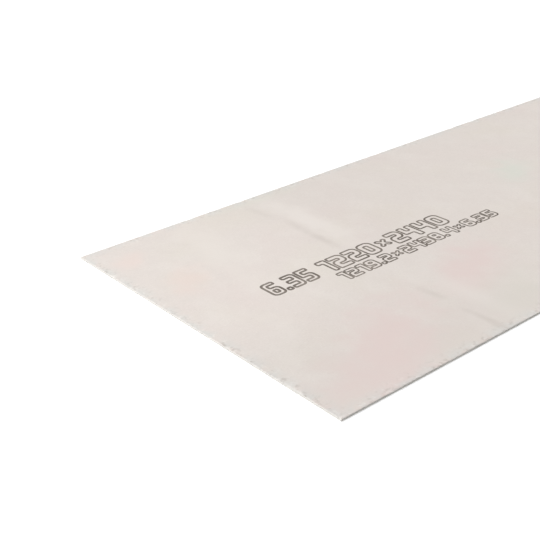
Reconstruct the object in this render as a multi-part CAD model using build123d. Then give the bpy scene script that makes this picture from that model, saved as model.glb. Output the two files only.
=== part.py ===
from build123d import *
import os

# Gypsum-fibre roof board: one flat sheet, sawn square on all four edges.
# Millimetres. The origin is the middle of the underside, +X runs along the sheet and +Z out of its top face.

# The sheet, a nominal 4 by 8 feet by a quarter of an inch
board_length = 2438.4
board_width = 1219.2
board_thickness = 6.35

# The sawn edges, eased by handling
corner_radius = 1.5  # in plan, at each of the four corners
arris_radius = 0.5  # where a sawn edge meets the top face or the underside


def sawn_sheet():
    """The sheet as it leaves the saw: a rectangle with eased corners, at its full thickness."""
    outline = RectangleRounded(board_length, board_width, corner_radius)
    return extrude(outline, amount=board_thickness)


def roof_board():
    """The finished board: the sawn sheet with its upper and lower arrises eased."""
    sheet = sawn_sheet()
    faces_by_height = sheet.faces().sort_by(Axis.Z)
    underside = faces_by_height[0]
    top_face = faces_by_height[-1]
    return fillet(underside.edges() + top_face.edges(), arris_radius)


os.makedirs("parts", exist_ok=True)
board = roof_board()
board.label = "roof_board"
export_step(board, "parts/roof_board.step")
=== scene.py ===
"""A gypsum-fibre roof board, dressed around its packed sheet and lit on a pale studio floor.

The sheet is one closed mesh whose sawn edges carry the waver, grit and chips of a real cut. The figures
stamped on its face are a thin film of ink. Lengths are metres unless a name ends in mm.
"""

from __future__ import annotations

import logging
import math
from collections.abc import Mapping, Sequence
from dataclasses import dataclass, field
from enum import Enum

import bmesh
import bpy
from bpy.types import ID, Material, Mesh, Node, NodeSocket, NodeTree, Object
from mathutils import Matrix, Vector

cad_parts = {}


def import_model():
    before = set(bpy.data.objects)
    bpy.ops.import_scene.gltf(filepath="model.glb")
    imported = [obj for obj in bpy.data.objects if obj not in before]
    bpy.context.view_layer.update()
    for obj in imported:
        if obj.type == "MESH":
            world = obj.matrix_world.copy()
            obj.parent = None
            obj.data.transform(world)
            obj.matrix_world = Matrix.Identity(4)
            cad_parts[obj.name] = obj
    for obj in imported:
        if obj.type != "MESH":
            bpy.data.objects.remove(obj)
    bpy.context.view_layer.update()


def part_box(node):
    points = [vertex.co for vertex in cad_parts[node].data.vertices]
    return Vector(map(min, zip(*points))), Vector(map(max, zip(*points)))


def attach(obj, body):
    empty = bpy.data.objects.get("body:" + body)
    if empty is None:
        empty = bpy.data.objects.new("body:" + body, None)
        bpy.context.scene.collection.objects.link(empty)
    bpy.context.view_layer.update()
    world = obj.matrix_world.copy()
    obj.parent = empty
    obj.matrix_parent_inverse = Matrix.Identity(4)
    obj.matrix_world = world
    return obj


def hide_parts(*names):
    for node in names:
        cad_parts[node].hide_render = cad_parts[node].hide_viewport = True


MM = 0.001
MM_PER_METRE = 1000.0
QUARTER_TURN = math.pi / 2
WHITE = "#ffffff"
BODY = "root"
NODE = "roof_board"
BAKE_MAP = "OFBake"

# What the wear notes on each point for the finishes: how raw it is, and how near the edge
WORN = "worn"
RIM = "rim"

# Socket numbers of the Mix node when it mixes colours
MIX_FACTOR = 0
MIX_FROM = 6
MIX_TO = 7
MIX_RESULT = 2

# Socket numbers of the Compare node when it compares whole numbers
COMPARE_FROM = 2
COMPARE_TO = 3

log = logging.getLogger("roof_board")

Point = tuple[float, float]
Place = tuple[float, float, float]
Colour = tuple[float, float, float, float]
# The lowest and the highest of something
Span = tuple[float, float]
# A size along, across and through the sheet
Size = tuple[float, float, float]
# The numbers of a face's points
Corners = tuple[int, ...]
# What feeds a node, by the number or name of each input
Links = Mapping[int | str, object]
# How much of a tint shows, and the tint
Layer = tuple[Node | NodeSocket, str]
# A corner of a figure's outline: how far along the line, how far up, and how widely bent
Bend = tuple[float, float, float]


class Side(Enum):
    """The four sawn sides in the order they are walked, anticlockwise from above."""

    FRONT = 0
    FAR_END = 1
    BACK = 2
    NEAR_END = 3


class Surface(Enum):
    """The sheet's three finishes."""

    FACE = 0
    SAWN = 1
    FELT = 2


def linear(hex_colour: str) -> Colour:
    """An sRGB colour as linear light.

    Args:
        hex_colour: A hash and six hex digits.

    Returns:
        Red, green, blue and a full alpha.
    """
    shares = [int(hex_colour[i:i + 2], 16) / 255 for i in (1, 3, 5)]
    red, green, blue = (c / 12.92 if c <= 0.04045 else ((c + 0.055) / 1.055) ** 2.4 for c in shares)
    return red, green, blue, 1.0


def feed(node: Node, links: Links) -> None:
    """Feeds a node's inputs.

    Args:
        node: The node.
        links: For an input's number or name, a constant, a socket, or a node to take the first output of.
    """
    for key, value in links.items():
        source = value.outputs[0] if isinstance(value, Node) else value
        if isinstance(source, NodeSocket):
            node.id_data.links.new(source, node.inputs[key])
        else:
            node.inputs[key].default_value = source


def add_node(tree: NodeTree, kind: str, links: Links | None = None, **settings: object) -> Node:
    """Adds one node to a tree, sets it up and feeds its inputs.

    Args:
        tree: The shader or geometry tree.
        kind: Blender's name for the type of node.
        links: What feeds its inputs, in the form that feed takes.
        settings: The node's own properties.

    Returns:
        The new node.
    """
    node = tree.nodes.new(kind)
    for name, value in settings.items():
        setattr(node, name, value)
    feed(node, links or {})
    return node


def add_object(data: ID) -> Object:
    """Puts a mesh, a lamp or a camera into the scene.

    Args:
        data: What the object shows.

    Returns:
        The object, which has the same name.
    """
    thing = bpy.data.objects.new(data.name, data)
    bpy.context.scene.collection.objects.link(thing)
    return thing


def start_material(name: str) -> tuple[Material, Node]:
    """Starts a material.

    Args:
        name: The material's name.

    Returns:
        The material and its shader.
    """
    material = bpy.data.materials.new(name)
    material.use_nodes = True
    return material, material.node_tree.nodes["Principled BSDF"]


def unevenness(tree: NodeTree, size_mm: Size, detail: float) -> Node:
    """The noise of a finish, in Object coordinates counted in cells of a real size.

    Args:
        tree: The material's nodes.
        size_mm: The cell along, across and through the sheet.
        detail: How many finer octaves it has.

    Returns:
        The node that gives the noise.
    """
    place = add_node(tree, "ShaderNodeTexCoord").outputs["Object"]
    cells = tuple(MM_PER_METRE / size for size in size_mm)
    counted = add_node(tree, "ShaderNodeVectorMath", {0: place, 1: cells}, operation="MULTIPLY")
    return add_node(tree, "ShaderNodeTexNoise", {"Vector": counted, "Scale": 1.0, "Detail": detail})


def layered(tree: NodeTree, base: str, layers: Sequence[Layer]) -> NodeSocket:
    """Lays tints over a colour, one on another.

    Args:
        tree: The material's nodes.
        base: The colour under all of them.
        layers: From the lowest up, how much of each tint shows, and the tint.

    Returns:
        The socket of the colour that comes of it.
    """
    colour: object = linear(base)
    for share, tint in layers:
        mix = {MIX_FACTOR: share, MIX_FROM: colour, MIX_TO: linear(tint)}
        colour = add_node(tree, "ShaderNodeMix", mix, data_type="RGBA").outputs[MIX_RESULT]
    return colour


@dataclass(frozen=True)
class Mottle:
    """One layer of uneven colour in a finish.

    Attributes:
        size_mm: How far apart its patches lie, along, across and through the sheet.
        tint: The colour that it drifts towards.
        strength: How much of that colour the strongest patches take.
        start, full: The noise levels where the drift begins and where it is strongest, from 0 to 1.
        detail: How many finer octaves the patches have.
    """

    size_mm: Size
    tint: str
    strength: float
    start: float = 0.45
    full: float = 0.70
    detail: float = 2.0

    def share(self, tree: NodeTree) -> Node:
        """Works out how much of it shows.

        Args:
            tree: The material's nodes.

        Returns:
            The node that gives the share.
        """
        noise = unevenness(tree, self.size_mm, self.detail)
        drift = {"Value": noise, "From Min": self.start, "From Max": self.full, "To Max": self.strength}
        return add_node(tree, "ShaderNodeMapRange", drift, interpolation_type="SMOOTHSTEP")


@dataclass(frozen=True)
class StainAndPaintedLight:
    """A soft patch or streak of another colour. Some are real stains where the mix settled or was rubbed;
    others are painted light and shade.

    Attributes:
        middle: Its middle, in the sheet's own X and Y.
        half: Half its length and half its width.
        turn_deg: How far its length is turned from +X towards +Y.
        tint: Its colour at its strongest.
        strength: How much of that colour it takes.
    """

    middle: Point
    half: tuple[float, float]
    turn_deg: float
    tint: str
    strength: float

    def share(self, tree: NodeTree, ragged: Node) -> Node:
        """Works out how much of it shows.

        Args:
            tree: The material's nodes.
            ragged: The node that makes its outline ragged.

        Returns:
            The node that gives the share.
        """
        outline = {
            "Vector": add_node(tree, "ShaderNodeTexCoord").outputs["Object"],
            "Location": (*self.middle, 0.0),
            "Rotation": (0.0, 0.0, math.radians(self.turn_deg)),
            "Scale": (*self.half, 1.0),
        }
        local = add_node(tree, "ShaderNodeMapping", outline, vector_type="TEXTURE")
        away = add_node(tree, "ShaderNodeVectorMath", {0: local}, operation="LENGTH").outputs["Value"]
        uneven = add_node(tree, "ShaderNodeMath", {0: away, 1: ragged}, operation="ADD")
        fade = {"Value": uneven, "To Min": self.strength, "To Max": 0.0}
        return add_node(tree, "ShaderNodeMapRange", fade, interpolation_type="SMOOTHSTEP")


@dataclass(frozen=True)
class GypsumFinish:
    """Pressed gypsum and paper fibre: chalky, dead matt and faintly clouded.

    The wet mix settles unevenly on the belt, so the eye finds soft clouds of pink, straw and grey, then
    flecks of fibre, then a chalk grain.

    Attributes:
        name: The material's name.
        base: The colour between all clouds.
        clouds: The layers of uneven colour, broadest first.
        grain_mm: The size of the chalk grain, along, across and through the sheet.
        grain_depth_mm: How deep the grain is.
        roughness: The lowest and highest roughness of the surface.
        grain_detail: How many finer octaves the grain has.
        ior: How strongly gypsum bends light.
    """

    name: str
    base: str
    clouds: tuple[Mottle, ...]
    grain_mm: Size
    grain_depth_mm: float
    roughness: Span
    grain_detail: float = 3.0
    ior: float = 1.52

    def layers(self, tree: NodeTree) -> list[Layer]:
        """What lies over the base colour, from the lowest layer up."""
        return [(cloud.share(tree), cloud.tint) for cloud in self.clouds]

    def build(self) -> Material:
        """Makes the material.

        Returns:
            The material, with its nodes.
        """
        material, shader = start_material(self.name)
        tree = material.node_tree
        grain = unevenness(tree, self.grain_mm, self.grain_detail)
        low, high = self.roughness
        rough = {"Value": grain, "To Min": low, "To Max": high}
        bumps = {"Strength": 1.0, "Distance": self.grain_depth_mm * MM, "Height": grain}
        feed(shader, {
            "IOR": self.ior,
            "Base Color": layered(tree, self.base, self.layers(tree)),
            "Roughness": add_node(tree, "ShaderNodeMapRange", rough),
            "Normal": add_node(tree, "ShaderNodeBump", bumps),
        })
        return material


@dataclass(frozen=True)
class PressedFace(GypsumFinish):
    """The top face: smoothed under the press, softly stained, dusty at its border, raw where chipped, and
    with painted light and shade on its shallow ripples and along its front border.

    Attributes:
        stains: The patches and streaks, some real stains and some painted light and shade, the later ones on
            top.
        border: The dust and specks along the edges, where stacked boards rub.
        raw: The colour of freshly broken gypsum.
        ragged_mm, ragged_detail: The size and finer octaves of the ragged steps in a patch's outline.
        raggedness: How far those steps reach, as a share of the patch's own size.
    """

    stains: tuple[StainAndPaintedLight, ...] = ()
    border: tuple[Mottle, ...] = ()
    raw: str = "#d9d6d1"
    ragged_mm: float = 70.0
    ragged_detail: float = 3.0
    raggedness: float = 1.1

    def layers(self, tree: NodeTree) -> list[Layer]:
        """Adds the stains, the border's dust and the raw gypsum of the chips to the clouds.

        Args:
            tree: The material's nodes.

        Returns:
            How much of each tint shows, and the tint, from the lowest layer up.
        """
        steps = unevenness(tree, (self.ragged_mm,) * 3, self.ragged_detail)
        swing = {0: steps, 1: self.raggedness, 2: -self.raggedness / 2}
        ragged = add_node(tree, "ShaderNodeMath", swing, operation="MULTIPLY_ADD")
        rim = add_node(tree, "ShaderNodeAttribute", attribute_name=RIM).outputs["Fac"]
        worn = add_node(tree, "ShaderNodeAttribute", attribute_name=WORN).outputs["Fac"]
        layers = super().layers(tree)
        # Real stains, then the painted highlights and painted shade of the ripples and the front border
        layers += [(tint_patch.share(tree, ragged), tint_patch.tint) for tint_patch in self.stains]
        for dust in self.border:
            shown = add_node(tree, "ShaderNodeMath", {0: dust.share(tree), 1: rim}, operation="MULTIPLY")
            layers.append((shown, dust.tint))
        return [*layers, (worn, self.raw)]


@dataclass(frozen=True)
class StampInk:
    """Grey water-based ink rolled onto chalky board: flat, thin, and starved where the board drank it.

    Attributes:
        name: The material's name.
        full: The colour where the roller left enough ink.
        starved: The colour where the board shows through.
        patch_mm, patch_detail: How far apart the starved patches lie, and their finer octaves.
        speck_mm, speck_detail: The size of the pinholes in the ink, and their finer octaves.
        speck_share: How much the pinholes count beside the patches.
        starved_levels: The noise levels where the ink begins to starve and where it is thinnest.
        roughness: How matt it dries.
    """

    name: str = "rolled_grey_ink"
    full: str = "#6a625a"
    starved: str = "#8f867d"
    patch_mm: float = 70.0
    patch_detail: float = 2.0
    speck_mm: float = 3.0
    speck_detail: float = 1.0
    speck_share: float = 0.6
    starved_levels: Span = (0.65, 1.05)
    roughness: float = 0.85

    def build(self) -> Material:
        """Makes the material.

        Returns:
            The material, with its nodes.
        """
        material, shader = start_material(self.name)
        tree = material.node_tree
        patches = unevenness(tree, (self.patch_mm,) * 3, self.patch_detail)
        specks = unevenness(tree, (self.speck_mm,) * 3, self.speck_detail)
        both = {0: specks, 1: self.speck_share, 2: patches}
        level = add_node(tree, "ShaderNodeMath", both, operation="MULTIPLY_ADD")
        first, last = self.starved_levels
        drunk = {"Value": level, "From Min": first, "From Max": last}
        share = add_node(tree, "ShaderNodeMapRange", drunk, interpolation_type="SMOOTHSTEP")
        colour = layered(tree, self.full, [(share, self.starved)])
        feed(shader, {"Roughness": self.roughness, "Base Color": colour})
        return material


class ShapeTool:
    """A Geometry Nodes tree with named inputs, run on a mesh and then taken off again.

    Attributes:
        tree: Its nodes.
        given: The sockets of its inputs, by name.
        identifiers: Blender's own names for those inputs.
    """

    def __init__(self, name: str, inputs: Mapping[str, str]) -> None:
        """Starts the tree.

        Args:
            name: The tree's name.
            inputs: Each input's name and the type of its socket.
        """
        self.tree = bpy.data.node_groups.new(name, "GeometryNodeTree")
        self.identifiers: dict[str, str] = {}
        interface = self.tree.interface
        interface.new_socket("Geometry", in_out="OUTPUT", socket_type="NodeSocketGeometry")
        interface.new_socket("Geometry", in_out="INPUT", socket_type="NodeSocketGeometry")
        for label, kind in inputs.items():
            socket = interface.new_socket(label, in_out="INPUT", socket_type=kind)
            self.identifiers[label] = socket.identifier
        self.given = add_node(self.tree, "NodeGroupInput").outputs

    def end_in(self, shape: Node) -> None:
        """Makes a node's geometry the tree's result."""
        add_node(self.tree, "NodeGroupOutput", {"Geometry": shape})

    def run(self, mesh: Mesh, values: Mapping[str, object]) -> Mesh:
        """Runs the tree once.

        Args:
            mesh: What the tree works on.
            values: A value for each named input.

        Returns:
            The result as a plain mesh.
        """
        carrier = add_object(mesh)
        modifier = carrier.modifiers.new(self.tree.name, "NODES")
        modifier.node_group = self.tree
        for label, value in values.items():
            modifier[self.identifiers[label]] = value
        graph = bpy.context.evaluated_depsgraph_get()
        result = bpy.data.meshes.new_from_object(
            carrier.evaluated_get(graph), preserve_all_data_layers=True, depsgraph=graph
        )
        carrier.modifiers.remove(modifier)
        bpy.data.objects.remove(carrier)
        return result


class EdgeTool(ShapeTool):
    """The tool that wears the sheet, with what every kind of wear asks of a point.

    Attributes:
        inset: How far in from the sawn edge the point lies.
        outward: The plan direction from it to the edge.
        height, depth: How far it lies above the underside and below the top face.
        HARSHNESS: How strong each finer octave of its noise is beside the one before.
    """

    HARSHNESS = 0.6

    def __init__(self, inputs: Mapping[str, str]) -> None:
        """Starts the tree.

        Args:
            inputs: Each input's name and the type of its socket.
        """
        super().__init__("edge_wear", inputs)
        tree = self.tree
        self.inset, self.outward = (
            add_node(tree, "GeometryNodeInputNamedAttribute", {"Name": name}, data_type=kind)
            for name, kind in (("inset", "FLOAT"), ("outward", "FLOAT_VECTOR"))
        )
        place = add_node(tree, "GeometryNodeInputPosition")
        self.height = add_node(tree, "ShaderNodeSeparateXYZ", {0: place}).outputs["Z"]
        below = {0: self.given["Thickness"], 1: self.height}
        self.depth = add_node(tree, "ShaderNodeMath", below, operation="SUBTRACT").outputs[0]

    def unevenness(self, size: NodeSocket, shift: float, detail: float) -> Node:
        """The noise of a kind of wear.

        Args:
            size: The input that gives the size of its cells.
            shift: What sets it apart from other noise of that size.
            detail: How many finer octaves it has.

        Returns:
            The node that gives the noise.
        """
        tree = self.tree
        links = {
            "Vector": add_node(tree, "GeometryNodeInputPosition"),
            "W": add_node(tree, "ShaderNodeMath", {0: self.given["Seed"], 1: shift}, operation="ADD"),
            "Scale": add_node(tree, "ShaderNodeMath", {0: 1.0, 1: size}, operation="DIVIDE"),
            "Detail": detail,
            "Roughness": self.HARSHNESS,
        }
        return add_node(tree, "ShaderNodeTexNoise", links, noise_dimensions="4D")


@dataclass(frozen=True)
class Wear:
    """One kind of wear, whose sizes are inputs of the tool.

    Attributes:
        kind: A word for it, which starts the names of its inputs.
    """

    kind: str

    def inputs(self) -> dict[str, float]:
        """Its sizes by the names of their inputs."""
        return {f"{self.kind} {name}": value for name, value in vars(self).items() if name != "kind"}

    def sockets(self, tool: EdgeTool) -> dict[str, NodeSocket]:
        """Its inputs in the tool, by the plain names of its sizes."""
        return {name: tool.given[f"{self.kind} {name}"] for name in vars(self) if name != "kind"}


@dataclass(frozen=True)
class Breakage(Wear):
    """One kind of break along an arris. Each break is cut by a slanted plane.

    Attributes:
        least: How far in from the edge every stretch of the arris is worn.
        reach: How much further in the largest break goes.
        slope: How deep a break is for how far in it goes.
        spacing: How far apart breaks tend to lie.
        level, full: The noise levels where a break starts and where it is largest, from 0 to 1.
        end_factor: How much further in it goes at the two ends than along the long edges.
        DETAIL: How many finer octaves the outline of a break has.
    """

    DETAIL = 3.0

    least: float
    reach: float
    slope: float
    spacing: float
    level: float
    full: float
    end_factor: float

    def moves(self, tool: EdgeTool, depth: NodeSocket, way: float, share: float) -> tuple[Node, Node]:
        """Breaks an arris: whatever lies outside the slanted plane is pushed straight back onto it.

        Args:
            tool: The tool that it belongs to.
            depth: How far from the arris's own face a point lies.
            way: The upright direction into the sheet.
            share: How much of the breakage this arris shows.

        Returns:
            The move of each point, and how deep it goes.
        """
        tree, size = tool.tree, self.sockets(tool)
        noise = tool.unevenness(size["spacing"], way, self.DETAIL)
        low, high = size["level"], size["full"]
        levels = {"Value": noise, "From Min": low, "From Max": high, "To Max": size["reach"]}
        reach = add_node(tree, "ShaderNodeMapRange", levels, interpolation_type="SMOOTHSTEP")
        along = add_node(tree, "ShaderNodeSeparateXYZ", {0: tool.outward})
        at_end = add_node(tree, "ShaderNodeMath", {0: along}, operation="ABSOLUTE")
        ends = {"Value": at_end, "To Min": 1.0, "To Max": size["end_factor"]}
        rougher = add_node(tree, "ShaderNodeMapRange", ends)
        square = {0: size["slope"], 1: size["slope"], 2: 1.0}
        steepness = add_node(tree, "ShaderNodeMath", square, operation="MULTIPLY_ADD")
        # How far in the plane reaches, then how deep it lies here, then how far outside it the point is
        sums = (
            ("ADD", size["least"]), ("MULTIPLY", rougher), ("MULTIPLY", share), ("SUBTRACT", tool.inset),
            ("MULTIPLY", size["slope"]), ("SUBTRACT", depth), ("MAXIMUM", 0.0), ("DIVIDE", steepness),
        )
        push = reach
        for operation, other in sums:
            push = add_node(tree, "ShaderNodeMath", {0: push, 1: other}, operation=operation)
        lean = {0: tool.outward, "Scale": size["slope"]}
        aside = add_node(tree, "ShaderNodeVectorMath", lean, operation="SCALE")
        inward = add_node(tree, "ShaderNodeVectorMath", {0: (0.0, 0.0, way), 1: aside}, operation="SUBTRACT")
        move = add_node(tree, "ShaderNodeVectorMath", {0: inward, "Scale": push}, operation="SCALE")
        return move, push


@dataclass(frozen=True)
class SawRun(Wear):
    """One way in which the cut runs in and out.

    Attributes:
        amount: How far it moves.
        length: Over what length.
        middle: The noise level that stays in place; at 1, all moves are inwards.
        fade: How far in from the edge the moves reach.
        DETAIL: How many finer octaves the moves have.
    """

    DETAIL = 2.0

    amount: float
    length: float
    middle: float
    fade: float

    def moves(self, tool: EdgeTool) -> Node:
        """Moves the cut.

        Args:
            tool: The tool that it belongs to.

        Returns:
            The move of each point.
        """
        tree, size = tool.tree, self.sockets(tool)
        reach = {"Value": tool.inset, "From Max": size["fade"], "To Min": 1.0, "To Max": 0.0}
        near = add_node(tree, "ShaderNodeMapRange", reach)
        swing = tool.unevenness(size["length"], 0.0, self.DETAIL)
        sums = (("SUBTRACT", size["middle"]), ("MULTIPLY", size["amount"]), ("MULTIPLY", near))
        for operation, other in sums:
            swing = add_node(tree, "ShaderNodeMath", {0: swing, 1: other}, operation=operation)
        return add_node(tree, "ShaderNodeVectorMath", {0: tool.outward, "Scale": swing}, operation="SCALE")


@dataclass(frozen=True)
class EdgeWear:
    """What the saw and handling did to the edges, as one rule for the whole rim.

    Attributes:
        chips: The crumbs that break off along every arris.
        flakes: The shallow flakes that are knocked off the face here and there.
        lower_share: How much of the chips a lower arris shows, kept from harm by the deck under it.
        waver: How the saw ran off its line.
        grit: The torn grains of the cut.
        raw: How far a point has to be pushed back to show raw gypsum, first a little and then wholly.
        rim_reach: How far in from the edge the face counts as its border.
        seed: Which of the many possible edges this is.
        DOWN, UP: The upright ways into the sheet, from its top face and from its underside.
    """

    DOWN = -1.0
    UP = 1.0

    chips: Breakage = Breakage(
        "Chip", least=0.7 * MM, reach=2.4 * MM, slope=1.0, spacing=30.0 * MM,
        level=0.56, full=0.85, end_factor=1.7,
    )
    flakes: Breakage = Breakage(
        "Flake", least=0.0, reach=4.6 * MM, slope=0.3, spacing=48.0 * MM,
        level=0.52, full=0.66, end_factor=1.8,
    )
    lower_share: float = 0.35
    waver: SawRun = SawRun("Waver", amount=0.25 * MM, length=380.0 * MM, middle=1.0, fade=60.0 * MM)
    grit: SawRun = SawRun("Grit", amount=0.22 * MM, length=5.0 * MM, middle=0.5, fade=1.2 * MM)
    raw: Span = (0.4 * MM, 1.2 * MM)
    rim_reach: float = 38.0 * MM
    seed: float = 3.0

    def build(self, mesh: Mesh, thickness: float, finishes: Mapping[Surface, Material]) -> Mesh:
        """Wears a plain sheet and gives it its finishes.

        Args:
            mesh: The plain sheet, with the attributes inset, outward and surface.
            thickness: How thick it is.
            finishes: The material of each surface.

        Returns:
            The worn sheet.
        """
        values: dict[str, object] = {"Thickness": thickness, "Rim reach": self.rim_reach, "Seed": self.seed}
        for wear in (self.chips, self.flakes, self.waver, self.grit):
            values |= wear.inputs()
        inputs = {label: "NodeSocketFloat" for label in values}
        values |= {surface.name: finishes[surface] for surface in Surface}
        tool = EdgeTool(inputs | {surface.name: "NodeSocketMaterial" for surface in Surface})
        tree = tool.tree
        shape = add_node(tree, "GeometryNodeRealizeInstances", {"Geometry": self.worn(tool)})
        kind = add_node(tree, "GeometryNodeInputNamedAttribute", {"Name": "surface"}, data_type="INT")
        for surface in Surface:
            pair = {COMPARE_FROM: kind, COMPARE_TO: surface.value}
            chosen = add_node(tree, "FunctionNodeCompare", pair, data_type="INT", operation="EQUAL")
            finished = {"Geometry": shape, "Selection": chosen, "Material": tool.given[surface.name]}
            shape = add_node(tree, "GeometryNodeSetMaterial", finished)
        tool.end_in(shape)
        return tool.run(mesh, values)

    def worn(self, tool: EdgeTool) -> Node:
        """Moves the sheet's points, and notes on each how raw it is and how near the edge.

        Args:
            tool: The tool that it belongs to.

        Returns:
            The node that gives the worn shape.
        """
        tree, given = tool.tree, tool.given
        chipped, chip_push = self.chips.moves(tool, tool.depth, self.DOWN, 1.0)
        flaked, flake_push = self.flakes.moves(tool, tool.depth, self.DOWN, 1.0)
        lower, lower_push = self.chips.moves(tool, tool.height, self.UP, self.lower_share)
        # Where a chip and a flake meet, the deeper one shows
        pushes = {0: flake_push, 1: chip_push}
        further = add_node(tree, "FunctionNodeCompare", pushes, data_type="FLOAT", operation="GREATER_THAN")
        breaks = {"Switch": further, "False": chipped, "True": flaked}
        total = add_node(tree, "GeometryNodeSwitch", breaks, input_type="VECTOR")
        for move in (lower, self.waver.moves(tool), self.grit.moves(tool)):
            total = add_node(tree, "ShaderNodeVectorMath", {0: total, 1: move}, operation="ADD")
        upper_push = add_node(tree, "ShaderNodeMath", pushes, operation="MAXIMUM")
        pushed = add_node(tree, "ShaderNodeMath", {0: upper_push, 1: lower_push}, operation="ADD")
        first, whole = self.raw
        bare = add_node(tree, "ShaderNodeMapRange", {"Value": pushed, "From Min": first, "From Max": whole})
        reach = {"Value": tool.inset, "From Max": given["Rim reach"], "To Min": 1.0, "To Max": 0.0}
        border = add_node(tree, "ShaderNodeMapRange", reach)
        shape = given["Geometry"]
        for label, value in ((WORN, bare), (RIM, border)):
            note = {"Geometry": shape, "Name": label, "Value": value}
            shape = add_node(tree, "GeometryNodeStoreNamedAttribute", note, data_type="FLOAT", domain="POINT")
        return add_node(tree, "GeometryNodeSetPosition", {"Geometry": shape, "Offset": total})


@dataclass(frozen=True)
class BakePatch:
    """A rectangle of the bake map.

    Attributes:
        left, bottom, right, top: Its sides, in shares of the map.
    """

    left: float
    bottom: float
    right: float
    top: float

    def spot(self, across: float, up: float) -> Point:
        """The place on the map of a point given in shares of the rectangle."""
        return self.left + across * (self.right - self.left), self.bottom + up * (self.top - self.bottom)

    def raised(self, by: float) -> BakePatch:
        """The same rectangle further up the map."""
        return BakePatch(self.left, self.bottom + by, self.right, self.top + by)


class SheetParts:
    """The points and faces of the sheet, collected while it is put together.

    Attributes:
        points, insets, outward: For each point, its place and what add_point says of it.
        faces, surfaces: For each face, its corners and its finish.
        spots: For each corner of each face, its place on the bake map.
    """

    def __init__(self) -> None:
        """Starts with nothing."""
        self.points: list[Place] = []
        self.insets: list[float] = []
        self.outward: list[Place] = []
        self.faces: list[Corners] = []
        self.surfaces: list[int] = []
        self.spots: list[Point] = []

    def add_point(self, place: Point, height: float, inset: float, outward: Point) -> int:
        """Adds a point.

        Args:
            place: Where it lies in plan.
            height: Its height above the floor.
            inset: How far in from the sawn edge it lies.
            outward: The plan direction from it to the nearest edge.

        Returns:
            Its number.
        """
        self.points.append((*place, height))
        self.insets.append(inset)
        self.outward.append((*outward, 0.0))
        return len(self.points) - 1

    def add_face(self, corners: Corners, surface: Surface, spots: Sequence[Point]) -> None:
        """Adds a face.

        Args:
            corners: The numbers of its points, anticlockwise from outside.
            surface: Its finish.
            spots: The place of each corner on the bake map.
        """
        self.faces.append(corners)
        self.surfaces.append(surface.value)
        self.spots.extend(spots)

    def to_mesh(self, name: str) -> Mesh:
        """Turns the parts into a mesh that carries what the wear needs to know.

        Args:
            name: The mesh's name.

        Returns:
            The mesh.
        """
        mesh = bpy.data.meshes.new(name)
        mesh.from_pydata(self.points, [], self.faces)
        outward = [share for way in self.outward for share in way]
        layers = (
            ("inset", "FLOAT", "POINT", "value", self.insets),
            ("outward", "FLOAT_VECTOR", "POINT", "vector", outward),
            ("surface", "INT", "FACE", "value", self.surfaces),
        )
        for label, kind, domain, key, values in layers:
            mesh.attributes.new(label, kind, domain).data.foreach_set(key, values)
        bake = mesh.uv_layers.new(name=BAKE_MAP)
        bake.uv.foreach_set("vector", [share for spot in self.spots for share in spot])
        return mesh


def stitch(outer: Sequence[int], inner: Sequence[int]) -> list[Corners]:
    """Faces between two chains of points that run the same way, the inner one on the left.

    Args:
        outer: The outer chain.
        inner: The inner chain, with as many steps, half as many, or a single point.

    Returns:
        The corners of each face, anticlockwise.
    """
    steps = range(len(outer) - 1)
    if len(inner) == len(outer):
        return [(outer[i], outer[i + 1], inner[i + 1], inner[i]) for i in steps]
    if len(inner) == 1:
        return [(outer[i], outer[i + 1], inner[0]) for i in steps]
    faces: list[Corners] = []
    for i in range(len(inner) - 1):
        first, middle, last = outer[2 * i:2 * i + 3]
        faces.append((first, middle, inner[i]))
        faces.append((middle, inner[i + 1], inner[i]))
        faces.append((middle, last, inner[i + 1]))
    return faces


@dataclass(frozen=True)
class Ring:
    """A rectangle of points on a face.

    Attributes:
        inset: How far in from the sawn edge it lies.
        divisor: How many of the edge's steps make one of its own.
    """

    inset: float
    divisor: int


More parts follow.
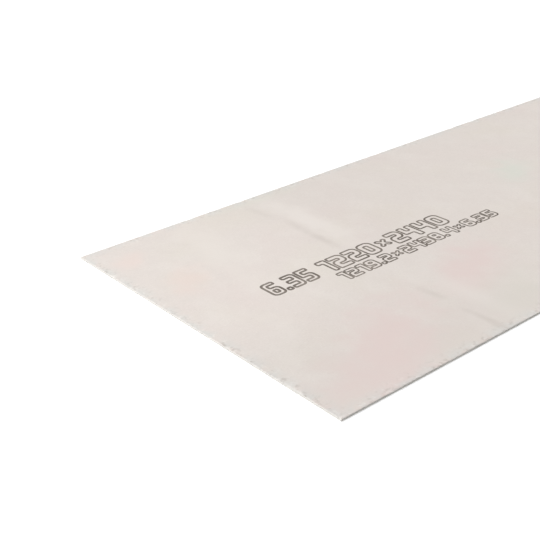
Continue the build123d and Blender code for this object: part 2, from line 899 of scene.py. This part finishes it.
@dataclass
class Sheet:
    """The board: a closed mesh, fine along its sawn edges and coarse across its two faces.

    Attributes:
        length, width, thickness: The sheet's size, from the frame.
        corner_radius, arris_radius: How far handling has eased its corners and arrises.
        steps: How many steps the edge has along the length and across the width.
        corner_steps, arris_steps, side_steps: How many steps go round a corner, over an arris, down a side.
        face_rings, felt_rings: The rings of points from the edge inwards, on the top and on the underside.
        sharp_deg: The angle from which two faces meet in a crisp edge.
        wear: What the saw and handling did to the edges.
        face_patch, felt_patch: Where the top face and the underside lie on the bake map.
        first_strip, strip_pitch: Where the first sawn side lies on it, and how far up the next one is.
        parts: What has been put together so far.
    """

    length: float
    width: float
    thickness: float
    corner_radius: float = 1.5 * MM
    arris_radius: float = 0.5 * MM
    steps: tuple[int, int] = (960, 480)
    corner_steps: int = 4
    arris_steps: int = 3
    side_steps: int = 5
    face_rings: tuple[Ring, ...] = (
        Ring(1.5 * MM, 1), Ring(2.8 * MM, 1), Ring(4.5 * MM, 1),
        Ring(7.5 * MM, 2), Ring(13.0 * MM, 4), Ring(24.0 * MM, 8), Ring(45.0 * MM, 16),
    )
    felt_rings: tuple[Ring, ...] = (
        Ring(2.0 * MM, 1), Ring(4.5 * MM, 1), Ring(9.0 * MM, 2),
        Ring(16.0 * MM, 4), Ring(28.0 * MM, 8), Ring(50.0 * MM, 16),
    )
    sharp_deg: float = 40.0
    wear: EdgeWear = EdgeWear()
    face_patch: BakePatch = BakePatch(left=0.005, bottom=0.470, right=0.995, top=0.995)
    felt_patch: BakePatch = BakePatch(left=0.005, bottom=0.170, right=0.995, top=0.460)
    first_strip: BakePatch = BakePatch(left=0.005, bottom=0.005, right=0.995, top=0.039)
    strip_pitch: float = 0.040
    parts: SheetParts = field(default_factory=SheetParts)

    def build(self, finishes: Mapping[Surface, Material]) -> Object:
        """Makes the board as one object.

        Args:
            finishes: The material of each surface.

        Returns:
            The board.
        """
        section = self.edge_section()
        loops = [self.loop(inset, height, self.corner_radius - inset) for inset, height in section]
        self.wrap_rim(loops)
        self.cover(loops[0], self.face_rings, Surface.FACE)
        self.cover(loops[-1], self.felt_rings, Surface.FELT)
        plain = self.parts.to_mesh("sawn_sheet")
        for surface in Surface:
            plain.materials.append(finishes[surface])
        worn = self.wear.build(plain, self.thickness, finishes)
        bpy.data.meshes.remove(plain)
        return self.dress(worn)

    def edge_section(self) -> list[Point]:
        """The section of a sawn edge.

        Returns:
            Insets and heights, from the top face down to the underside.
        """
        radius = self.arris_radius
        turns = [QUARTER_TURN * i / self.arris_steps for i in range(self.arris_steps + 1)]
        upper = [(radius * (1 - math.sin(t)), self.thickness - radius * (1 - math.cos(t))) for t in turns]
        lower = [(inset, self.thickness - height) for inset, height in reversed(upper)]
        drop = (self.thickness - 2 * radius) / self.side_steps
        side = [(0.0, self.thickness - radius - drop * i) for i in range(1, self.side_steps)]
        return upper + side + lower

    def corner(self, side: Side, inset: float) -> tuple[Vector, Vector, Vector]:
        """Where a side starts.

        Args:
            side: The side.
            inset: How far in from the edge.

        Returns:
            The side's first corner in plan, its direction of travel and its outward direction.
        """
        travel = Matrix.Rotation(QUARTER_TURN * side.value, 2) @ Vector((1.0, 0.0))
        outward = Vector((travel.y, -travel.x))
        half = Vector((self.length / 2 - inset, self.width / 2 - inset))
        reach = outward - travel
        return Vector((reach.x * half.x, reach.y * half.y)), travel, outward

    def run_length(self, side: Side, inset: float) -> float:
        """How long a side is at some inset."""
        return (self.length if side.value % 2 == 0 else self.width) - 2 * inset

    def run_steps(self, side: Side) -> int:
        """How many steps a side's edge has."""
        return self.steps[side.value % 2]

    def loop(self, inset: float, height: float, ease: float = 0.0, divisor: int = 1) -> list[list[int]]:
        """Lays one loop of points round the sheet.

        Args:
            inset: How far in from the edge it lies.
            height: How high it lies.
            ease: The radius of its corners, which are sharp at 0.
            divisor: How many of the edge's steps make one of its own.

        Returns:
            For each side, its straight run and the corner at its end, up to the next side's first point.
        """
        runs: list[list[int]] = []
        for side in Side:
            start, travel, outward = self.corner(side, inset)
            span = self.run_length(side, inset)
            count = self.run_steps(side) // divisor
            step = (span - 2 * ease) / count
            stops = [(start + travel * (ease + step * i), outward) for i in range(count)]
            # An eased corner starts with the last point of the straight run
            centre = start + travel * (span - ease) - outward * ease
            for i in range(self.corner_steps if ease else 0):
                turned = Matrix.Rotation(QUARTER_TURN * i / self.corner_steps, 2) @ outward
                stops.append((centre + turned * ease, turned))
            runs.append([self.parts.add_point(place[:], height, inset, way[:]) for place, way in stops])
        return [run + [runs[(i + 1) % len(runs)][0]] for i, run in enumerate(runs)]

    def wrap_rim(self, loops: Sequence[Sequence[Sequence[int]]]) -> None:
        """Covers the sawn edge, each side in a strip of its own on the bake map.

        Args:
            loops: The edge's loops of points, from the top face down.
        """
        rows = len(loops) - 1
        for side in Side:
            strip = self.first_strip.raised(self.strip_pitch * side.value)
            for row in range(rows):
                upper, lower = loops[row][side.value], loops[row + 1][side.value]
                last = len(upper) - 1
                low, high = 1 - (row + 1) / rows, 1 - row / rows
                for i, corners in enumerate(stitch(lower, upper)):
                    near, far = i / last, (i + 1) / last
                    ends = ((near, low), (far, low), (far, high), (near, high))
                    self.parts.add_face(corners, Surface.SAWN, [strip.spot(*end) for end in ends])

    def cover(self, rim: Sequence[Sequence[int]], rings: Sequence[Ring], surface: Surface) -> None:
        """Covers the top face or the underside, from the rim inwards.

        Args:
            rim: The rim's loop on that face.
            rings: The rings to lay, from the rim inwards.
            surface: Which of the two it is.
        """
        height = self.thickness if surface is Surface.FACE else 0.0
        faces: list[Corners] = []
        outer, *others = [self.loop(ring.inset, height, divisor=ring.divisor) for ring in rings]
        for side in Side:
            count = self.run_steps(side) + 1
            faces += stitch(rim[side.value][:count], outer[side.value])
            faces += stitch(rim[side.value][count - 1:], outer[side.value][-1:])
        for inner in others:
            for side in Side:
                faces += stitch(outer[side.value], inner[side.value])
            outer = inner
        faces += self.middle(outer, rings[-1].inset, height)
        for corners in faces:
            turned = corners if surface is Surface.FACE else tuple(reversed(corners))
            self.parts.add_face(turned, surface, [self.flat_spot(i, surface) for i in turned])

    def middle(self, ring: Sequence[Sequence[int]], inset: float, height: float) -> list[Corners]:
        """The plain grid inside the innermost ring.

        Args:
            ring: The ring's points, side by side.
            inset: How far in the ring lies.
            height: How high it lies.

        Returns:
            The corners of each face, anticlockwise from above.
        """
        front, far_end, back, near_end = ring
        across, up = len(front) - 1, len(far_end) - 1
        start, _, _ = self.corner(Side.FRONT, inset)
        cell_x = self.run_length(Side.FRONT, inset) / across
        cell_y = self.run_length(Side.FAR_END, inset) / up
        rows = [list(front)]
        for j in range(1, up):
            row = [near_end[up - j]]
            for i in range(1, across):
                place = (start.x + cell_x * i, start.y + cell_y * j)
                row.append(self.parts.add_point(place, height, inset, (0.0, 0.0)))
            rows.append([*row, far_end[j]])
        rows.append(list(reversed(back)))
        return [face for lower, upper in zip(rows, rows[1:]) for face in stitch(lower, upper)]

    def flat_spot(self, number: int, surface: Surface) -> Point:
        """The place on the bake map of a point of the top face or the underside, each seen from outside.

        Args:
            number: The point's number.
            surface: Which of the two it is on.

        Returns:
            The place, in shares of the map.
        """
        x, y, _ = self.parts.points[number]
        if surface is Surface.FACE:
            return self.face_patch.spot(0.5 + x / self.length, 0.5 + y / self.width)
        return self.felt_patch.spot(0.5 - x / self.length, 0.5 + y / self.width)

    def dress(self, mesh: Mesh) -> Object:
        """Makes an object of the worn sheet and puts it in the CAD sheet's place.

        Args:
            mesh: The worn sheet.

        Returns:
            The board.
        """
        mesh.name = "roof_board_sheet"
        for label in ("inset", "outward", "surface"):
            mesh.attributes.remove(mesh.attributes[label])
        mesh.shade_smooth()
        mesh.set_sharp_from_angle(angle=math.radians(self.sharp_deg))
        board = add_object(mesh)
        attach(board, BODY)
        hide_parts(NODE)
        return board


# The outlines of block figures. Each point is a column line from 0 to 3 and a row line from 0 to 5: the
# outer lines bound the figure, and the others bound its limbs.
BLOCK = ((0, 0), (3, 0), (3, 5), (0, 5))
LOWER_EYE = ((1, 1), (2, 1), (2, 2), (1, 2))
UPPER_EYE = ((1, 3), (2, 3), (2, 4), (1, 4))
BLOCK_FIGURES: dict[str, tuple[tuple[Point, ...], ...]] = {
    "0": (BLOCK, ((1, 1), (2, 1), (2, 4), (1, 4))),
    "1": (((1, 0), (2, 0), (2, 5), (0, 5), (0, 4), (1, 4)),),
    "2": (((0, 0), (3, 0), (3, 1), (1, 1), (1, 2), (3, 2), (3, 5), (0, 5), (0, 4), (2, 4), (2, 3), (0, 3)),),
    "3": (((0, 0), (3, 0), (3, 5), (0, 5), (0, 4), (2, 4), (2, 3), (0, 3), (0, 2), (2, 2), (2, 1), (0, 1)),),
    "4": (((2, 0), (3, 0), (3, 5), (2, 5), (2, 3), (1, 3), (1, 5), (0, 5), (0, 2), (2, 2)),),
    "5": (((0, 0), (3, 0), (3, 3), (1, 3), (1, 4), (3, 4), (3, 5), (0, 5), (0, 2), (2, 2), (2, 1), (0, 1)),),
    "6": (((0, 0), (3, 0), (3, 3), (1, 3), (1, 4), (3, 4), (3, 5), (0, 5)), LOWER_EYE),
    "8": (BLOCK, LOWER_EYE, UPPER_EYE),
    "9": (((0, 0), (3, 0), (3, 5), (0, 5), (0, 2), (2, 2), (2, 1), (0, 1)), UPPER_EYE),
    ".": (((0, 0), (1, 0), (1, 1), (0, 1)),),
    "×": ((
        (0, 1), (0.9, 1), (1.5, 2.05), (2.1, 1), (3, 1), (2, 2.5),
        (3, 4), (2.1, 4), (1.5, 2.95), (0.9, 4), (0, 4), (1, 2.5),
    ),),
}

# The corners that are bent round, as the bowls of real figures are; all others are nearly square
BOWL_CORNERS: dict[str, tuple[Point, ...]] = {
    "0": BLOCK,
    "2": ((3, 2), (3, 5), (0, 3)),
    "3": ((3, 0), (3, 5)),
    "5": ((3, 0), (3, 3)),
    "6": ((0, 0), (3, 0), (3, 3), (0, 5)),
    "8": BLOCK,
    "9": ((0, 2), (3, 0), (3, 5), (0, 5)),
}


def between(lines: Sequence[float], place: float) -> float:
    """The position of a place counted in lines, with parts of a step read between two lines."""
    step = min(int(place), len(lines) - 2)
    return lines[step] + (place - step) * (lines[step + 1] - lines[step])


@dataclass(frozen=True)
class FigureLine:
    """One line of stamped figures.

    Attributes:
        text: The figures.
        start: How far from the near end the line starts.
        baseline: How far from the far long edge its foot lies.
        height, width: The size of a figure.
        limb: How thick its limbs are.
        gap: The space between two figures.
        stroke: The width of the inked outline.
        bowl_share, bend_share: The radius of a bowl's corners and of all others, as shares of a limb.
    """

    text: str
    start: float
    baseline: float
    height: float
    width: float
    limb: float
    gap: float
    stroke: float
    bowl_share: float = 0.95
    bend_share: float = 0.28

    def outlines(self) -> list[list[Bend]]:
        """The outlines of its figures.

        Returns:
            The corners of each closed outline.
        """
        top, limb, waist = self.height, self.limb, self.height / 2
        rows = (0.0, limb, waist - limb / 2, waist + limb / 2, top - limb, top)
        columns = (0.0, limb, self.width - limb, self.width)
        bowl, bend = limb * self.bowl_share, limb * self.bend_share
        outlines: list[list[Bend]] = []
        left = 0.0
        for figure in self.text:
            bowls = BOWL_CORNERS.get(figure, ())
            for corners in BLOCK_FIGURES[figure]:
                outline: list[Bend] = []
                for column, row in corners:
                    x, y = left + between(columns, column), between(rows, row)
                    outline.append((x, y, bowl if (column, row) in bowls else bend))
                outlines.append(outline)
            left = max(x for outline in outlines for x, _, _ in outline) + self.gap
        return outlines


@dataclass
class SizeFigures:
    """The sheet's size in millimetres, stamped along its middle in outlined block figures.

    Attributes:
        board: The sheet that they are stamped on.
        lines: The lines of figures.
        film: The thickness of the ink, drawn far thicker than real ink so that it clears the face.
        bite: How far the ink reaches into the face.
        step: The length of one step along an outline.
        bend_steps: How many steps a bent corner is first drawn with.
    """

    board: Sheet
    lines: tuple[FigureLine, ...] = (
        FigureLine(
            "6.35", start=284 * MM, baseline=641 * MM, height=80 * MM, width=43 * MM,
            limb=14.5 * MM, gap=10.2 * MM, stroke=8.4 * MM,
        ),
        FigureLine(
            "1220×2440", start=502 * MM, baseline=641 * MM, height=80 * MM, width=54 * MM,
            limb=19 * MM, gap=9 * MM, stroke=7.1 * MM,
        ),
        FigureLine(
            "1219.2×2438.4×6.35", start=502 * MM, baseline=713 * MM, height=54 * MM, width=39 * MM,
            limb=13 * MM, gap=6 * MM, stroke=5.8 * MM,
        ),
    )
    film: float = 0.12 * MM
    bite: float = 0.03 * MM
    step: float = 2.0 * MM
    bend_steps: int = 6

    def build(self, ink: Material) -> Object:
        """Stamps all lines as one object.

        Args:
            ink: The ink's material.

        Returns:
            The figures.
        """
        tool = self.outline_tool()
        joined = bmesh.new()
        for line in self.lines:
            drawn = self.draw(line)
            mesh = tool.run(drawn, {"Stroke": line.stroke, "Film": self.film, "Step": self.step, "Ink": ink})
            joined.from_mesh(mesh)
            bpy.data.meshes.remove(mesh)
            bpy.data.meshes.remove(drawn)
        mesh = bpy.data.meshes.new("size_figures")
        joined.to_mesh(mesh)
        joined.free()
        return self.dress(mesh, ink)

    def draw(self, line: FigureLine) -> Mesh:
        """Draws a line's outlines where they lie on the board.

        Args:
            line: The line of figures.

        Returns:
            A mesh of edges alone.
        """
        left = line.start - self.board.length / 2
        foot = self.board.width / 2 - line.baseline
        level = self.board.thickness + self.film / 2 - self.bite
        points: list[Place] = []
        bends: list[float] = []
        edges: list[tuple[int, int]] = []
        for outline in line.outlines():
            first, count = len(points), len(outline)
            points += [(left + x, foot + y, level) for x, y, _ in outline]
            bends += [bend for _, _, bend in outline]
            edges += [(first + i, first + (i + 1) % count) for i in range(count)]
        mesh = bpy.data.meshes.new("outlines")
        mesh.from_pydata(points, edges, [])
        mesh.attributes.new("bend", "FLOAT", "POINT").data.foreach_set("value", bends)
        return mesh

    def outline_tool(self) -> ShapeTool:
        """The rule that lays a band of ink along every outline.

        Returns:
            The tool.
        """
        inputs = {size: "NodeSocketFloat" for size in ("Stroke", "Film", "Step")}
        tool = ShapeTool("stamped_figures", inputs | {"Ink": "NodeSocketMaterial"})
        tree, given = tool.tree, tool.given
        line = add_node(tree, "GeometryNodeMeshToCurve", {"Mesh": given["Geometry"]})
        bend = add_node(tree, "GeometryNodeInputNamedAttribute", {"Name": "bend"}, data_type="FLOAT")
        bent = {"Curve": line, "Count": self.bend_steps, "Radius": bend, "Limit Radius": True}
        line = add_node(tree, "GeometryNodeFilletCurve", bent, mode="POLY")
        evened = {"Curve": line, "Length": given["Step"]}
        line = add_node(tree, "GeometryNodeResampleCurve", evened, mode="LENGTH")
        line = add_node(tree, "GeometryNodeSetCurveNormal", {"Curve": line}, mode="Z_UP")
        section = {"Width": given["Stroke"], "Height": given["Film"]}
        band = add_node(tree, "GeometryNodeCurvePrimitiveQuadrilateral", section)
        shape = add_node(tree, "GeometryNodeCurveToMesh", {"Curve": line, "Profile Curve": band})
        shape = add_node(tree, "GeometryNodeRealizeInstances", {"Geometry": shape})
        tool.end_in(add_node(tree, "GeometryNodeSetMaterial", {"Geometry": shape, "Material": given["Ink"]}))
        return tool

    def dress(self, mesh: Mesh, ink: Material) -> Object:
        """Makes an object of the figures.

        Args:
            mesh: The joined lines, in place.
            ink: The ink's material.

        Returns:
            The figures.
        """
        mesh.materials.clear()
        mesh.materials.append(ink)
        mesh.attributes.remove(mesh.attributes["bend"])
        mesh.shade_flat()
        figures = add_object(mesh)
        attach(figures, BODY)
        return figures


@dataclass(frozen=True)
class Studio:
    """A white light table under one very wide soft light from behind on the left.

    Attributes:
        floor_half, floor_gap: Half the side of the floor, and how far under the sheet it lies.
        floor_colour, floor_glow: The frosted sheet of the table, and the light that comes up through it.
        key_height_deg: How high the middle of the light stands.
        key_turn_deg: How far it stands behind the near end's own direction.
        key_strength: How bright its middle is.
        key_edge: The cosine of the angle from its middle where it ends.
        pool_middle, pool_radius: Where a lamp adds a soft pool of light to the face, and how large it is.
        lamp_place, lamp_radius: Where that lamp hangs, and how large it is.
        lamp_watts, lamp_blend: How strong it is, and how soft the rim of its pool.
    """

    floor_half: float = 40.0
    floor_gap: float = 0.2 * MM
    floor_colour: str = "#dadada"
    floor_glow: float = 0.38
    key_height_deg: float = 55.0
    key_turn_deg: float = 37.5
    key_strength: float = 3.66
    key_edge: float = 0.6
    pool_middle: Point = (-1.22, 0.36)
    pool_radius: float = 0.62
    lamp_place: Place = (-2.20, 0.64, 1.75)
    lamp_radius: float = 0.1
    lamp_watts: float = 18.0
    lamp_blend: float = 0.5

    def lay_floor(self) -> Object:
        """Lays the floor just under the sheet.

        Returns:
            The floor.
        """
        mesh = bpy.data.meshes.new("table")
        half = self.floor_half
        corners = [(-half, -half, 0), (half, -half, 0), (half, half, 0), (-half, half, 0)]
        mesh.from_pydata(corners, [], [(0, 1, 2, 3)])
        frosted, shader = start_material("lit_table")
        feed(shader, {
            "Base Color": linear(self.floor_colour),
            "Emission Color": linear(WHITE),
            "Emission Strength": self.floor_glow,
            "Roughness": 1.0,
            "Specular IOR Level": 0.0,
        })
        mesh.materials.append(frosted)
        floor = add_object(mesh)
        floor.location.z = -self.floor_gap
        return floor

    def light(self) -> None:
        """Makes the wide light the world, which is plain white to the camera."""
        scene = bpy.context.scene
        scene.view_settings.view_transform = "Standard"
        scene.world = bpy.data.worlds.new("soft_studio")
        scene.world.use_nodes = True
        tree = scene.world.node_tree
        tree.nodes.clear()
        height, turn = math.radians(self.key_height_deg), math.radians(self.key_turn_deg)
        middle = (-math.cos(height) * math.cos(turn), math.cos(height) * math.sin(turn), math.sin(height))
        way = add_node(tree, "ShaderNodeTexCoord").outputs["Generated"]
        facing = add_node(tree, "ShaderNodeVectorMath", {0: way, 1: middle}, operation="DOT_PRODUCT")
        fall = {"Value": facing.outputs["Value"], "From Min": self.key_edge, "To Max": self.key_strength}
        strength = add_node(tree, "ShaderNodeMapRange", fall, interpolation_type="SMOOTHSTEP")
        lit, seen = (
            add_node(tree, "ShaderNodeBackground", {"Color": linear(WHITE), "Strength": given})
            for given in (strength, 1.0)
        )
        path = add_node(tree, "ShaderNodeLightPath").outputs["Is Camera Ray"]
        mixed = add_node(tree, "ShaderNodeMixShader", {0: path, 1: lit, 2: seen})
        add_node(tree, "ShaderNodeOutputWorld", {"Surface": mixed})

    def hang_lamp(self) -> Object:
        """Hangs the lamp that adds the pool of light.

        Returns:
            The lamp.
        """
        lamp = bpy.data.lights.new("pool_lamp", "SPOT")
        throw = Vector((*self.pool_middle, 0.0)) - Vector(self.lamp_place)
        lamp.energy = self.lamp_watts
        lamp.spot_size = 2 * math.atan(self.pool_radius / throw.length)
        lamp.spot_blend = self.lamp_blend
        lamp.shadow_soft_size = self.lamp_radius
        hung = add_object(lamp)
        hung.location = self.lamp_place
        hung.rotation_euler = throw.to_track_quat("-Z", "Y").to_euler()
        return hung


@dataclass(frozen=True)
class PhotoCamera:
    """The camera, standing where the photograph was taken from.

    Attributes:
        aim: The point of the top face in the middle of the picture.
        distance: How far the camera stands from it.
        turn_deg: How far it looks from +Y towards +X.
        down_deg: How far it looks down.
        lean_deg: How far its upright leans to the right.
        lens_mm, sensor_mm: The lens, and the width of what it projects on.
        sight: How far it sees, which takes in the whole floor.
    """

    aim: Place = (-0.8413, 0.1122, 0.0063)
    distance: float = 3.0321
    turn_deg: float = 38.26
    down_deg: float = 26.482
    lean_deg: float = 2.7
    lens_mm: float = 66.03
    sensor_mm: float = 36.0
    sight: float = 200.0

    def stand(self) -> Object:
        """Sets the camera up.

        Returns:
            The camera.
        """
        data = bpy.data.cameras.new("photo_camera")
        data.lens = self.lens_mm
        data.sensor_width = self.sensor_mm
        data.clip_end = self.sight
        turned = Matrix.Rotation(-math.radians(self.turn_deg), 4, "Z")
        tilted = Matrix.Rotation(QUARTER_TURN - math.radians(self.down_deg), 4, "X")
        leaned = Matrix.Rotation(-math.radians(self.lean_deg), 4, "Z")
        back = Matrix.Translation((0, 0, self.distance))
        camera = add_object(data)
        camera.matrix_world = Matrix.Translation(self.aim) @ turned @ tilted @ leaned @ back
        bpy.context.scene.camera = camera
        return camera


# The press leaves the face smooth and close, so its colour drifts softly and only a fine grain catches light
FACE = PressedFace(
    name="pressed_gypsum_fibre",
    base="#dbd3cd",
    clouds=(
        Mottle((420, 420, 420), "#dbcfca", 0.5),
        Mottle((300, 300, 300), "#dad3c9", 0.5),
        Mottle((120, 160, 120), "#dfd8d2", 0.5),
        Mottle((38, 38, 38), "#d6cec8", 0.25),
        # Fibre is a tenth of this width; it is drawn coarser to show at all
        Mottle((9, 2.2, 4), "#cdc4bc", 0.3, start=0.55),
        Mottle((2.2, 9, 4), "#e8e2dc", 0.3, start=0.55),
    ),
    grain_mm=(1.6, 1.6, 1.6),
    grain_depth_mm=0.05,
    roughness=(0.82, 0.97),
    stains=(
        # Where the mix settled to grey, pink and green
        StainAndPaintedLight((-0.750, -0.520), (0.900, 0.250), 0, "#d2c9c3", 0.40),
        StainAndPaintedLight((-0.930, -0.470), (0.480, 0.200), 33, "#ddcbc7", 0.75),
        StainAndPaintedLight((-0.385, -0.290), (0.290, 0.150), 33, "#ddcbc7", 0.75),
        StainAndPaintedLight((-1.060, 0.240), (0.150, 0.100), 50, "#e3cfc7", 0.45),
        StainAndPaintedLight((-1.120, 0.470), (0.110, 0.080), 50, "#e3d0c9", 0.45),
        StainAndPaintedLight((0.340, 0.120), (0.200, 0.100), 35, "#d2d8cd", 0.50),
        # Pale bands across the sheet: partly a paler tone of the face, partly a painted highlight where a
        # shallow ripple turns towards the light
        StainAndPaintedLight((-0.880, 0.340), (0.460, 0.110), 80, "#e0d9d2", 0.6),
        StainAndPaintedLight((-0.500, 0.310), (0.400, 0.080), 90, "#e3dcd6", 0.75),
        StainAndPaintedLight((-0.525, -0.420), (0.340, 0.060), 90, "#e0d9d3", 0.5),
        # Patches of straw
        StainAndPaintedLight((-0.420, -0.500), (0.300, 0.160), 30, "#d5d1c8", 0.5),
        StainAndPaintedLight((-0.530, 0.580), (0.300, 0.060), 0, "#dad8cd", 0.4),
        # Dark streaks beside the pale bands: partly a darker tone of the face, partly painted shade where the
        # ripple turns away from the light
        StainAndPaintedLight((-0.577, 0.160), (0.130, 0.026), 87, "#c6bdb6", 0.5),
        StainAndPaintedLight((-0.586, 0.470), (0.140, 0.026), 92, "#cac1ba", 0.3),
        StainAndPaintedLight((-0.570, 0.300), (0.110, 0.030), 84, "#c8bfb8", 0.35),
        StainAndPaintedLight((-0.600, -0.340), (0.100, 0.026), 95, "#c8bfb8", 0.4),
        StainAndPaintedLight((-0.605, -0.540), (0.130, 0.022), 90, "#c6bdb6", 0.45),
        # Painted shade along the front border of the face, standing for an arris that rounds off away from
        # the light
        StainAndPaintedLight((0.0, -0.614), (4.0, 0.014), 0, "#b8b0a8", 0.45),
    ),
    border=(
        Mottle((60, 60, 60), "#d0d2cf", 0.6, start=0.38, full=0.60),
        Mottle((14, 14, 14), "#a89f96", 0.5, start=0.54, full=0.72),
        Mottle((16, 16, 16), "#ece8e4", 0.5, start=0.56, full=0.72),
    ),
)
# The cut is open, torn and dusty, so it has less colour than the face and scatters light all ways
SAWN = GypsumFinish(
    name="sawn_gypsum_fibre",
    base="#d7d4cf",
    clouds=(
        Mottle((60, 60, 60), "#cfcbc5", 0.5),
        # Tooth marks stand upright across the cut, drawn a little coarser than the saw's pitch
        Mottle((2.5, 2.5, 40), "#c6c1bb", 0.5),
        Mottle((1.2, 1.2, 1.2), "#e6e4e0", 0.4, start=0.55),
    ),
    grain_mm=(1.8, 1.8, 6.0),
    grain_depth_mm=0.15,
    roughness=(0.88, 1.0),
)
# The forming felt leaves the underside duller and coarser than the pressed face, with a faint weave
FELT = GypsumFinish(
    name="felt_side_gypsum_fibre",
    base="#d8d0c9",
    clouds=(
        Mottle((320, 320, 320), "#d6cbc4", 0.8),
        Mottle((120, 90, 90), "#d2cbc0", 0.6),
        Mottle((30, 30, 30), "#cdc5be", 0.4),
        # The felt's weave is finer than this and is drawn coarser to show
        Mottle((14, 5, 5), "#e0d9d2", 0.4, start=0.5),
    ),
    grain_mm=(3.2, 2.0, 2.0),
    grain_depth_mm=0.10,
    roughness=(0.86, 0.98),
)


def main() -> None:
    """Builds the board, stamps it, and sets up the studio."""
    logging.basicConfig(level=logging.INFO, format="%(name)s: %(message)s")
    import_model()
    low, high = (Vector(corner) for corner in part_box(NODE))
    length, width, thickness = high - low
    sheet = Sheet(length, width, thickness)
    board = sheet.build({Surface.FACE: FACE.build(), Surface.SAWN: SAWN.build(), Surface.FELT: FELT.build()})
    figures = SizeFigures(sheet).build(StampInk().build())
    for piece in (board, figures):
        log.info("%s: %d faces", piece.name, len(piece.data.polygons))
    studio = Studio()
    studio.light()
    for thing in (studio.lay_floor(), studio.hang_lamp(), PhotoCamera().stand()):
        log.info("studio: %s", thing.name)


if __name__ == "__main__":
    main()
